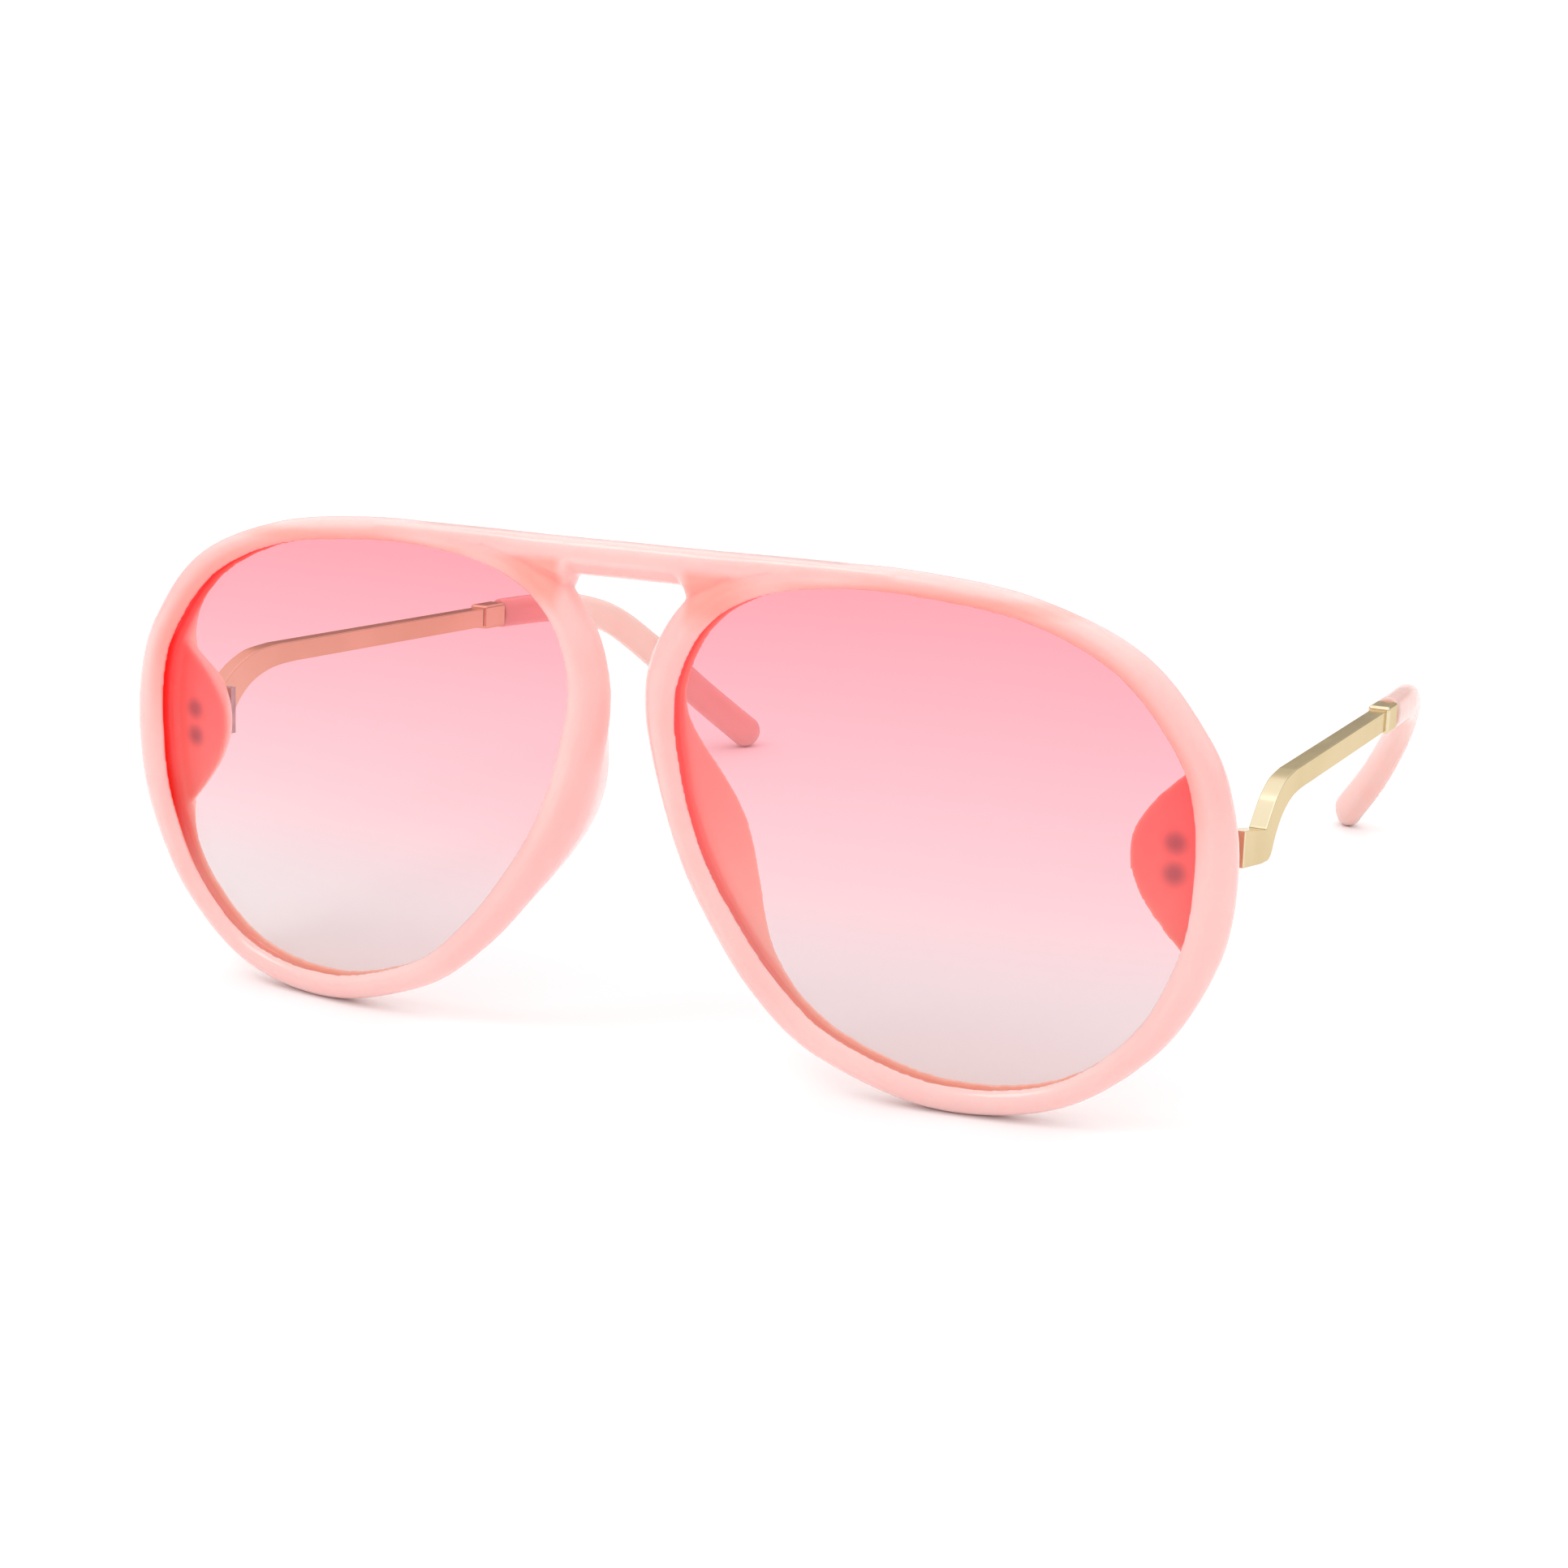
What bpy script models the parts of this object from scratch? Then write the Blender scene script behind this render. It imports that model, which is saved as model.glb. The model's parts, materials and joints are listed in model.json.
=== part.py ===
"""Oversized teardrop sunglasses: moulded front, two curved lenses, riveted hinges and stepped metal temples.

Layout frame of the glasses, before they are set down: X to the wearer's left, Y backwards along the
temples, Z up, with the bridge at the origin. All sizes below are millimetres; MM turns them into metres.
The finished glasses stand on the rim bottoms and the temple tips, so everything hangs from one empty
that leans the layout frame back and stands it on the ground plane, centred over the world's origin.
"""
import math

import bmesh
import bpy
from mathutils import Matrix, Vector

MM = 0.001
NAME = "teardrop_sunglasses"

# Resting pose
LEAN_DEG = 5.46              # how far the front leans back when the glasses stand on a table
GROUND_LIFT = 29.69          # height of the layout origin above the table
SET_BACK = -63.80            # brings the middle of the footprint to the origin

# Front surface: face-form curve, a slight twist towards the temples, and its reference column
WRAP = 0.0009
TWIST = 0.00108
LENS_CENTRE_X = 26.5

# Rims
APERTURE = (                 # visible lens opening of the wearer's left eye, x and z
    (69.5, 0.0), (69.2, 7.8), (67.0, 14.3), (60.2, 22.3), (49.7, 27.1), (36.7, 28.8), (26.5, 28.7),
    (17.0, 26.8), (10.5, 22.4), (7.3, 14.6), (8.5, 5.2), (11.4, -2.8), (15.6, -9.7), (20.9, -16.2),
    (28.7, -22.5), (41.7, -26.3), (54.6, -24.5), (63.5, -17.6), (68.2, -8.2),
)
RIM_WIDTHS = (               # angle about the lens centre in degrees, rim width
    (0, 4.5), (30, 3.7), (60, 2.8), (90, 2.8), (110, 2.9), (130, 4.2), (150, 4.9), (180, 4.2),
    (225, 3.9), (270, 3.2), (315, 3.1),
)
RIM_STATIONS = 76
RIM_BACK = 3.3               # depth of the rim's back edge behind the lip
LIP_TO_CROWN = 0.9           # how far the rounded crown stands ahead of the lip
GROOVE = (0.5, 2.6, 1.0)     # groove front edge, back edge and depth

# Nose flares and hinge lugs, both grown out of the rims
CHEEK_Z = 4.0                # the nasal side of each rim turns back behind a crease
CHEEK_HALF = 30.0
FLARE_DEPTH = 8.0
FLARE_Z = -1.6
FLARE_HALF = 17.5
SWELL_RISE = 6.85            # the wall beside each lug deepens at this rate, up to SWELL_LIMIT
SWELL_LIMIT = 3.2
SWELL_Z = 2.8
SWELL_HALF = 17.5
LUG_ROOT = (                 # outline where the lug grows from the rim, x and z
    (71.2, 10.5), (69.0, 14.4), (67.4, 12.2), (64.0, 8.8), (61.7, 5.2), (61.3, 1.6), (62.6, -2.2),
    (65.2, -5.8), (68.0, -9.0), (69.4, -11.4), (71.2, -7.5),
)
LUG_FACE = (                 # outline of its flat back, where the hinge is riveted
    (71.2, 9.5), (70.0, 10.6), (67.9, 9.8), (65.4, 8.0), (64.2, 5.4), (64.0, 1.6), (64.8, -1.0),
    (66.4, -3.4), (68.4, -5.2), (70.0, -6.6), (71.2, -6.0),
)
LUG_FRONT = 3.2              # how far behind the lip the root begins
LUG_BACK = 11.0

# Brow bar: x, bottom and top at each station from the middle out to where the rim takes over
BAR_STATIONS = (
    (-2.0, 27.2, 31.55), (3.0, 27.2, 31.55), (7.1, 27.2, 31.55), (7.6, 26.8, 31.55), (7.8, 25.4, 31.55),
    (8.8, 25.2, 31.55), (11.0, 26.0, 31.55), (14.0, 27.6, 31.6), (19.0, 29.3, 31.65), (27.0, 30.0, 31.65),
    (34.0, 30.1, 31.6),
)

# Lenses
LENS_FRONT = 0.8
LENS_BACK = 2.3
LENS_IN_GROOVE = 0.65

# Hinges
HINGE_X = 69.6
HINGE_Y = 12.8
HINGE_Z = 3.4
KNUCKLE_R = 1.35
KNUCKLE_BORE = 0.9
SCREW_R = 0.6
SCREW_HEAD_R = 1.15
SCREW_HEAD_H = 0.7
SCREW_SLOT = (0.3, 0.3)      # width and depth
FRONT_LEAF_X = (64.0, 67.9)
LEAF_H = 6.0
LEAF_T = 1.0
TEMPLE_LEAF_RUN = 5.0        # how far the temple's plate runs back from the pin
TEMPLE_LEAF_T = 0.9
MID_KNUCKLE_H = 1.8
CLEARANCE = 0.3
RIVET_X = 66.4
RIVET_SPACING = 3.5
RIVET_R = 0.5
RIVET_DEPTH = 2.1            # how far each shank goes into the lug
RIVET_HEAD = (1.05, 0.5)     # radius and height

# Temples: flat metal bar with a step, collar, core and moulded tip
TEMPLE_X0 = 74.2             # where the outer face would cross the bridge plane
TEMPLE_SLOPE = 0.0600        # the temples close in towards their tips
BAR_T = 2.1
BUTT_Y = 8.85
BAR_END_Y = 76.6
BAR_Z = (6.58, 9.31)
PLATE_TOP = ((BUTT_Y, 6.0), (18.0, 4.5))
RISER_TOP = ((18.0, 4.5), (19.6, 5.8), (21.4, 7.1), (23.4, 8.1), (25.9, 8.9), (30.1, BAR_Z[1]))
RISER_BOTTOM = (
    (33.6, BAR_Z[0]), (29.9, 6.35), (27.0, 5.7), (24.5, 4.6), (22.4, 2.9), (20.9, 1.1), (19.6, 0.6),
)
PLATE_BOTTOM = ((17.0, 0.75), (BUTT_Y, 1.8))
COLLAR_Y = (76.9, 81.9)
COLLAR_SIZE = (2.9, 3.5)
COLLAR_Z = 8.0
CORE_Y = (78.0, 88.4)
CORE_SIZE = (0.9, 1.3)
COLLAR_EDGE = 0.25
TIP_PATH = (
    (68.2, 82.3, 8.0), (67.7, 88.0, 7.9), (66.9, 94.5, 7.7), (65.6, 101.5, 6.8), (63.6, 109.0, 4.2),
    (60.2, 116.6, -1.6), (55.3, 124.0, -9.0), (49.35, 131.25, -16.45),
)
TIP_SECTION = (3.3, 4.3)
TIP_END_SECTION = (3.6, 5.0)
TIP_ROUNDING = (0.35, 0.6, 0.8, 0.93)   # extra stations that round the last stretch
TIP_SIDES = 16
TIP_SQUARENESS = 0.85        # 1 would give an ellipse, less gives flatter sides


def principled(name, rgb, roughness, metallic=0.0, transmission=0.0, alpha=1.0):
    material = bpy.data.materials.new(name)
    material.use_nodes = True
    shader = material.node_tree.nodes["Principled BSDF"]
    shader.inputs["Base Color"].default_value = (*rgb, 1.0)
    shader.inputs["Roughness"].default_value = roughness
    shader.inputs["Metallic"].default_value = metallic
    shader.inputs["Transmission Weight"].default_value = transmission
    shader.inputs["Alpha"].default_value = alpha
    material.diffuse_color = (*rgb, alpha)
    return material


def front_surface(x, z):
    """Y of the lens opening's lip at a place on the front."""
    return WRAP * x * x - TWIST * (abs(x) - LENS_CENTRE_X) * z


def catmull(p0, p1, p2, p3, t):
    return 0.5 * (2 * p1 + (p2 - p0) * t + (2 * p0 - 5 * p1 + 4 * p2 - p3) * t * t
                  + (3 * p1 - p0 - 3 * p2 + p3) * t ** 3)


def smooth_path(points, steps, closed=False):
    """Points along a smooth curve through the given ones."""
    pts = [Vector(p) for p in points]
    count = len(pts)
    path = []
    for i in range(count if closed else count - 1):
        if closed:
            quad = [pts[(i + k) % count] for k in (-1, 0, 1, 2)]
        else:
            quad = [pts[max(i - 1, 0)], pts[i], pts[i + 1], pts[min(i + 2, count - 1)]]
        path.extend(catmull(*quad, s / steps) for s in range(steps))
    if not closed:
        path.append(pts[-1])
    return path


def even_loop(points, count):
    """A closed path resampled to evenly spaced points."""
    lengths = [0.0]
    for i, p in enumerate(points):
        lengths.append(lengths[-1] + (points[(i + 1) % len(points)] - p).length)
    loop, k = [], 0
    for s in range(count):
        target = lengths[-1] * s / count
        while lengths[k + 1] < target:
            k += 1
        t = (target - lengths[k]) / (lengths[k + 1] - lengths[k])
        loop.append(points[k].lerp(points[(k + 1) % len(points)], t))
    return loop


def bump(value, centre, half):
    """Smooth bell that is 1 at the centre and 0 beyond the half width."""
    t = min(abs(value - centre) / half, 1.0)
    return math.cos(t * math.pi / 2) ** 2


def rim_width(angle):
    """Rim width at an angle, eased between the stated ones."""
    keys = [*RIM_WIDTHS, (RIM_WIDTHS[0][0] + 360, RIM_WIDTHS[0][1])]
    for (a0, w0), (a1, w1) in zip(keys, keys[1:]):
        if a0 <= angle <= a1:
            t = (angle - a0) / (a1 - a0)
            return w0 + (w1 - w0) * t * t * (3 - 2 * t)
    return keys[0][1]


def aperture_loop(count):
    """Evenly spaced places round the lens opening, each with its outward normal."""
    loop = even_loop(smooth_path(APERTURE, 12, closed=True), count)
    stations = []
    for i, p in enumerate(loop):
        tangent = loop[(i + 1) % count] - loop[i - 1]
        stations.append((p, Vector((tangent.y, -tangent.x)).normalized()))
    return stations


def new_object(name, mesh, collection, material=None):
    obj = bpy.data.objects.new(name, mesh)
    collection.objects.link(obj)
    if material:
        mesh.materials.append(material)
    return obj


def mesh_from(bm, name):
    for v in bm.verts:
        v.co *= MM
    bmesh.ops.recalc_face_normals(bm, faces=bm.faces)
    mesh = bpy.data.meshes.new(name)
    bm.to_mesh(mesh)
    bm.free()
    return mesh


def loft(name, rings, closed):
    """Skin rings of equal length; an open loft gets flat end caps."""
    bm = bmesh.new()
    rows = [[bm.verts.new(p) for p in ring] for ring in rings]
    sides = len(rows[0])
    for i in range(len(rows) if closed else len(rows) - 1):
        a, b = rows[i], rows[(i + 1) % len(rows)]
        for j in range(sides):
            k = (j + 1) % sides
            bm.faces.new((a[j], a[k], b[k], b[j]))
    if not closed:
        bm.faces.new(rows[0])
        bm.faces.new(rows[-1][::-1])
    return mesh_from(bm, name)


def slab(name, outline, depth_range, bevel=0.0):
    """An outline in the temple's plane, given thickness between two distances inside its outer face."""
    bm = bmesh.new()
    low = [bm.verts.new(on_temple(y, z, depth_range[0])) for y, z in outline]
    face = bm.faces.new(low)
    made = bmesh.ops.extrude_face_region(bm, geom=[face])
    top = [g for g in made["geom"] if isinstance(g, bmesh.types.BMVert)]
    bmesh.ops.translate(bm, verts=top, vec=(depth_range[0] - depth_range[1], 0, 0))
    bmesh.ops.recalc_face_normals(bm, faces=bm.faces)
    if bevel:
        bmesh.ops.bevel(bm, geom=bm.edges[:], offset=bevel, segments=2, affect="EDGES", clamp_overlap=True)
    return mesh_from(bm, name)


def box(name, low, high):
    bm = bmesh.new()
    bmesh.ops.create_cube(bm, size=1.0)
    low, high = Vector(low), Vector(high)
    for v in bm.verts:
        v.co = Vector((low[i] + (high[i] - low[i]) * (v.co[i] + 0.5) for i in range(3)))
    return mesh_from(bm, name)


def rod(name, start, end, radius, sides=24):
    """A capped cylinder between two places."""
    start, end = Vector(start), Vector(end)
    bm = bmesh.new()
    bmesh.ops.create_cone(bm, cap_ends=True, segments=sides, radius1=radius, radius2=radius,
                          depth=(end - start).length)
    turn = (end - start).to_track_quat("Z", "Y").to_matrix().to_4x4()
    bmesh.ops.transform(bm, matrix=Matrix.Translation((start + end) / 2) @ turn, verts=bm.verts)
    return mesh_from(bm, name)


def combine(obj, tool_meshes, operation, tools):
    """Apply one exact Boolean for each tool mesh, and keep the result as the object's own mesh."""
    for mesh in tool_meshes:
        tool = new_object(mesh.name, mesh, tools)
        tool.hide_render = True
        tool.display_type = "WIRE"
        step = obj.modifiers.new(mesh.name, "BOOLEAN")
        step.operation = operation
        step.object = tool
        step.solver = "EXACT"
    bpy.context.view_layer.update()
    evaluated = obj.evaluated_get(bpy.context.evaluated_depsgraph_get())
    mesh = bpy.data.meshes.new_from_object(evaluated)
    obj.modifiers.clear()
    obj.data = mesh
    return obj


def temple_frame_x(y):
    """X of the temple's outer face."""
    return TEMPLE_X0 - TEMPLE_SLOPE * y


# ---- front ---------------------------------------------------------------------------------------

def rim_section(place, normal):
    """One ring of the rim at a place on the lens opening, from the lip round the crown to the groove."""
    angle = math.degrees(math.atan2(place.y, place.x - LENS_CENTRE_X - 8)) % 360
    width = rim_width(angle)
    nasal = place.x < LENS_CENTRE_X + 4
    cheek = bump(place.y, CHEEK_Z, CHEEK_HALF) if nasal else 0.0
    flared = bump(place.y, FLARE_Z, FLARE_HALF) if nasal else 0.0
    turn = math.sqrt(flared)
    flare = FLARE_DEPTH * flared
    swell = 0.0 if nasal else min(SWELL_LIMIT, SWELL_RISE * bump(place.y, SWELL_Z, SWELL_HALF))
    back = RIM_BACK + flare
    lean = 0.14 * flare
    pad = 0.105 * flared
    groove_front, groove_back, groove_depth = GROOVE
    profile = (
        (0.0, 0.1), (0.18 * width, -0.55), ((0.42 - 0.06 * cheek) * width, -LIP_TO_CROWN),
        ((0.68 - 0.12 * cheek) * width, -0.7 + 0.1 * cheek),
        ((0.9 - 0.1 * cheek) * width, -0.1 + 0.5 * cheek + 0.4 * turn),
        ((1.0 - 0.05 * cheek) * width, 0.9 + 0.5 * cheek + turn),
        ((0.97 + 0.03 * cheek) * width, 1.9 + 0.2 * cheek + 1.6 * turn),
        ((0.86 + pad) * width, 2.5 + 0.3 * flare + turn), ((0.8 + pad) * width - lean, back - 0.8),
        (0.48 * width - lean, back - 0.1), (0.22 * width - lean, back + swell), (-lean, back + swell - 0.3),
        (0.0, groove_back), (groove_depth, groove_back - 0.1), (groove_depth, groove_front + 0.1),
        (0.0, groove_front),
    )
    ring = []
    for out, depth in profile:
        x, z = place + normal * out
        ring.append((x, front_surface(x, z) + depth, z))
    return ring


def brow_bar():
    """Half of the straight bar over both rims, a little past the middle plane."""
    crown, back = -LIP_TO_CROWN + 0.05, RIM_BACK - 0.1
    rings = []
    for x, low, high in BAR_STATIONS:
        tall = high - low
        section = (
            (low + 0.05 * tall, 0.9), (low + 0.40 * tall, crown + 0.1), (low + 0.48 * tall, crown),
            (high - 0.27 * tall, crown), (high - 0.07 * tall, -0.4), (high, 0.5), (high, back - 0.9),
            (high - 0.15 * tall, back), (low + 0.15 * tall, back), (low, back - 0.7),
        )
        rings.append([(x, front_surface(x, z) + depth, z) for z, depth in section])
    return loft("brow_bar", rings, closed=False)


def lug():
    """The thickened end piece behind the rim that carries the hinge, with rounded sloping sides."""
    rings = []
    for t in (0.0, 0.25, 0.5, 0.75, 0.92, 1.0):
        ring = []
        for root, face in zip(LUG_ROOT, LUG_FACE):
            x, z = Vector(root).lerp(Vector(face), t ** 2)
            ring.append((x, (front_surface(x, z) + LUG_FRONT) * (1 - t) + LUG_BACK * t, z))
        rings.append(ring)
    return loft("lug", rings, closed=False)


def rivet_places():
    return [(RIVET_X, HINGE_Z + side * RIVET_SPACING / 2) for side in (-1, 1)]


def build_front(collection, tools, material):
    rings = [rim_section(place, normal) for place, normal in aperture_loop(RIM_STATIONS)]
    front = new_object("front_frame", loft("rim", rings, closed=True), collection, material)
    combine(front, [brow_bar(), lug()], "UNION", tools)
    hole_end = LUG_BACK - RIVET_DEPTH - CLEARANCE
    holes = [rod(f"rivet_hole_{i}", (x, hole_end, z), (x, LUG_BACK + 1, z), RIVET_R + CLEARANCE)
             for i, (x, z) in enumerate(rivet_places())]
    combine(front, holes, "DIFFERENCE", tools)
    mirror = front.modifiers.new("mirror", "MIRROR")
    mirror.use_axis = (True, False, False)
    mirror.use_bisect_axis = (True, False, False)
    mirror.merge_threshold = 0.00005
    return front


def build_lens(collection, material):
    """Curved sheet that follows the front and sits in the rim's groove."""
    stations = aperture_loop(RIM_STATIONS)
    edge = [place + normal * LENS_IN_GROOVE for place, normal in stations]
    centre = sum(edge, Vector((0, 0))) / len(edge)
    bm = bmesh.new()

    def sheet(depth):
        rows = []
        for scale in (1.0, 0.8, 0.55, 0.3):
            row = [centre + (p - centre) * scale for p in edge]
            rows.append([bm.verts.new((x, front_surface(x, z) + depth, z)) for x, z in row])
        middle = bm.verts.new((centre.x, front_surface(*centre) + depth, centre.y))
        for a, b in zip(rows, rows[1:]):
            for j in range(len(edge)):
                k = (j + 1) % len(edge)
                bm.faces.new((a[j], a[k], b[k], b[j]))
        for j in range(len(edge)):
            bm.faces.new((rows[-1][j], rows[-1][(j + 1) % len(edge)], middle))
        return rows[0]

    front, back = sheet(LENS_FRONT), sheet(LENS_BACK)
    for j in range(len(edge)):
        k = (j + 1) % len(edge)
        bm.faces.new((front[j], front[k], back[k], back[j]))
    return new_object("lens_left", mesh_from(bm, "lens_left"), collection, material)


# ---- hinge ---------------------------------------------------------------------------------------

def knuckle_heights():
    """Bottom, middle and top knuckle, each as its low and high z."""
    low, high = HINGE_Z - LEAF_H / 2, HINGE_Z + LEAF_H / 2
    mid = MID_KNUCKLE_H / 2
    return (
        (low, HINGE_Z - mid - CLEARANCE),
        (HINGE_Z - mid, HINGE_Z + mid),
        (HINGE_Z + mid + CLEARANCE, high),
    )


def build_front_leaf(collection, tools, material):
    """Plate riveted behind the lug, with the bottom and top knuckles."""
    y = LUG_BACK + CLEARANCE
    inner, outer = FRONT_LEAF_X
    low, high = HINGE_Z - LEAF_H / 2, HINGE_Z + LEAF_H / 2
    leaf = new_object("hinge_front_leaf_left", box("leaf", (inner, y, low), (outer, y + LEAF_T, high)),
                      collection, material)
    pieces = []
    for i in (0, 2):
        z0, z1 = knuckle_heights()[i]
        pieces.append(box(f"web_{i}", (outer - 0.5, y, z0), (HINGE_X, y + LEAF_T, z1)))
        pieces.append(rod(f"knuckle_{i}", (HINGE_X, HINGE_Y, z0), (HINGE_X, HINGE_Y, z1), KNUCKLE_R))
    combine(leaf, pieces, "UNION", tools)
    cuts = [rod("pin_bore", (HINGE_X, HINGE_Y, low - 1), (HINGE_X, HINGE_Y, high + 1), KNUCKLE_BORE)]
    cuts += [rod(f"leaf_hole_{i}", (x, y - 1, z), (x, y + LEAF_T + 1, z), RIVET_R + CLEARANCE)
             for i, (x, z) in enumerate(rivet_places())]
    return combine(leaf, cuts, "DIFFERENCE", tools)


def build_temple_leaf(collection, tools, material):
    """Plate soldered inside the temple, with the middle knuckle."""
    z0, z1 = knuckle_heights()[1]
    back = HINGE_Y + TEMPLE_LEAF_RUN
    outer = temple_frame_x(back) - BAR_T - CLEARANCE
    inner = outer - TEMPLE_LEAF_T
    leaf = new_object("hinge_temple_leaf_left",
                      box("temple_leaf", (inner, HINGE_Y, z0), (outer, back, z1)), collection, material)
    web = box("temple_web", (HINGE_X, HINGE_Y - LEAF_T / 2, z0), (outer - 0.2, HINGE_Y + KNUCKLE_R, z1))
    barrel = rod("temple_knuckle", (HINGE_X, HINGE_Y, z0), (HINGE_X, HINGE_Y, z1), KNUCKLE_R)
    combine(leaf, [web, barrel], "UNION", tools)
    bore = rod("temple_bore", (HINGE_X, HINGE_Y, z0 - 1), (HINGE_X, HINGE_Y, z1 + 1), KNUCKLE_BORE)
    return combine(leaf, [bore], "DIFFERENCE", tools)


def build_screw(collection, tools, material):
    """Slotted screw down through all three knuckles."""
    top = HINGE_Z + LEAF_H / 2 + CLEARANCE
    bottom = HINGE_Z - LEAF_H / 2 - 0.4
    head_top = top + SCREW_HEAD_H
    screw = new_object("hinge_screw_left",
                       rod("screw", (HINGE_X, HINGE_Y, bottom), (HINGE_X, HINGE_Y, top + 0.3), SCREW_R),
                       collection, material)
    head = rod("screw_head", (HINGE_X, HINGE_Y, top), (HINGE_X, HINGE_Y, head_top), SCREW_HEAD_R)
    combine(screw, [head], "UNION", tools)
    half, deep = SCREW_SLOT[0] / 2, SCREW_SLOT[1]
    slot = box("screw_slot", (HINGE_X - 2, HINGE_Y - half, head_top - deep),
               (HINGE_X + 2, HINGE_Y + half, head_top + 1))
    return combine(screw, [slot], "DIFFERENCE", tools)


def build_rivets(collection, tools, material):
    """Two domed rivets through the leaf into the lug."""
    rivets = []
    start, face = LUG_BACK - RIVET_DEPTH, LUG_BACK + 2 * CLEARANCE + LEAF_T
    head_r, head_h = RIVET_HEAD
    for name, (x, z) in zip(("lower", "upper"), rivet_places()):
        shank = rod("shank", (x, start, z), (x, face + 0.2, z), RIVET_R)
        rivet = new_object(f"hinge_rivet_{name}_left", shank, collection, material)
        head = rod("rivet_head", (x, face, z), (x, face + head_h, z), head_r)
        rivets.append(combine(rivet, [head], "UNION", tools))
    return rivets


# ---- temple --------------------------------------------------------------------------------------

def on_temple(y, z, inward):
    """A place on the temple: its distance back, its height, and how far inside the outer face it is."""
    return temple_frame_x(y) - inward, y, z


def build_bar(collection, material):
    top = [*PLATE_TOP[:1], *smooth_path(RISER_TOP, 3), (BAR_END_Y, BAR_Z[1])]
    bottom = [(BAR_END_Y, BAR_Z[0]), *smooth_path(RISER_BOTTOM, 3), *PLATE_BOTTOM]
    outline = [tuple(p) for p in top + bottom]
    return new_object("temple_bar_left", slab("bar", outline, (0.0, BAR_T)), collection, material)


def along_temple(name, y_range, size, bevel=0.0):
    """A block that follows the temple's slope, centred on its thickness and on the collar's height."""
    width, height = size
    mid = BAR_T / 2
    low, high = COLLAR_Z - height / 2, COLLAR_Z + height / 2
    outline = [(y_range[0], low), (y_range[1], low), (y_range[1], high), (y_range[0], high)]
    return slab(name, outline, (mid - width / 2, mid + width / 2), bevel)


def build_collar(collection, tools, material):
    collar = new_object("temple_collar_left", along_temple("collar", COLLAR_Y, COLLAR_SIZE, COLLAR_EDGE),
                        collection, material)
    bore = along_temple("collar_bore", (CORE_Y[0] - CLEARANCE, COLLAR_Y[1] + 1),
                        [s + 2 * CLEARANCE for s in CORE_SIZE])
    return combine(collar, [bore], "DIFFERENCE", tools)


def build_core(collection, material):
    return new_object("tip_core_left", along_temple("core", CORE_Y, CORE_SIZE), collection, material)


def build_tip(collection, tools, material):
    """Moulded tip: a rounded section swept along its bend, closing to a round end."""
    path = smooth_path(TIP_PATH, 4)
    path[-1:-1] = [path[-2].lerp(path[-1], t) for t in TIP_ROUNDING]
    total = sum((b - a).length for a, b in zip(path, path[1:]))
    start, end = Vector(TIP_SECTION) / 2, Vector(TIP_END_SECTION) / 2
    rings, run = [], 0.0
    for i, centre in enumerate(path):
        ahead, behind = path[min(i + 1, len(path) - 1)], path[max(i - 1, 0)]
        tangent = (ahead - behind).normalized()
        side = tangent.cross(Vector((0, 0, 1))).normalized()
        up = side.cross(tangent)
        if i:
            run += (centre - path[i - 1]).length
        half_w, half_h = start.lerp(end, run / total)
        left = (total - run) / half_h
        round_off = math.sqrt(max(1 - (1 - min(left, 1.0)) ** 2, 0.02))
        ring = []
        for j in range(TIP_SIDES):
            a = 2 * math.pi * j / TIP_SIDES
            c, s = math.cos(a), math.sin(a)
            w = math.copysign(abs(c) ** TIP_SQUARENESS, c) * half_w * round_off
            h = math.copysign(abs(s) ** TIP_SQUARENESS, s) * half_h * round_off
            ring.append(centre + side * w + up * h)
        rings.append(ring)
    tip = new_object("temple_tip_left", loft("tip", rings, closed=False), collection, material)
    bore = along_temple("tip_bore", (COLLAR_Y[1] - 1, CORE_Y[1] + CLEARANCE),
                        [s + 2 * CLEARANCE for s in CORE_SIZE])
    return combine(tip, [bore], "DIFFERENCE", tools)


# ---- assembly ------------------------------------------------------------------------------------

def mirrored(obj, collection):
    """The same piece on the wearer's right."""
    mesh = obj.data.copy()
    mesh.transform(Matrix.Scale(-1, 4, (1, 0, 0)))
    mesh.flip_normals()
    twin = bpy.data.objects.new(obj.name.replace("_left", "_right"), mesh)
    collection.objects.link(twin)
    return twin


def hang(obj, parent, parent_place, origin):
    """Parent a piece, with its origin at a place of the layout frame given in metres."""
    obj.data.transform(Matrix.Translation(-origin))
    obj.parent = parent
    obj.location = origin - parent_place


def empty(name, collection, parent=None, location=(0, 0, 0)):
    obj = bpy.data.objects.new(name, None)
    collection.objects.link(obj)
    obj.parent = parent
    obj.location = location
    return obj


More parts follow.
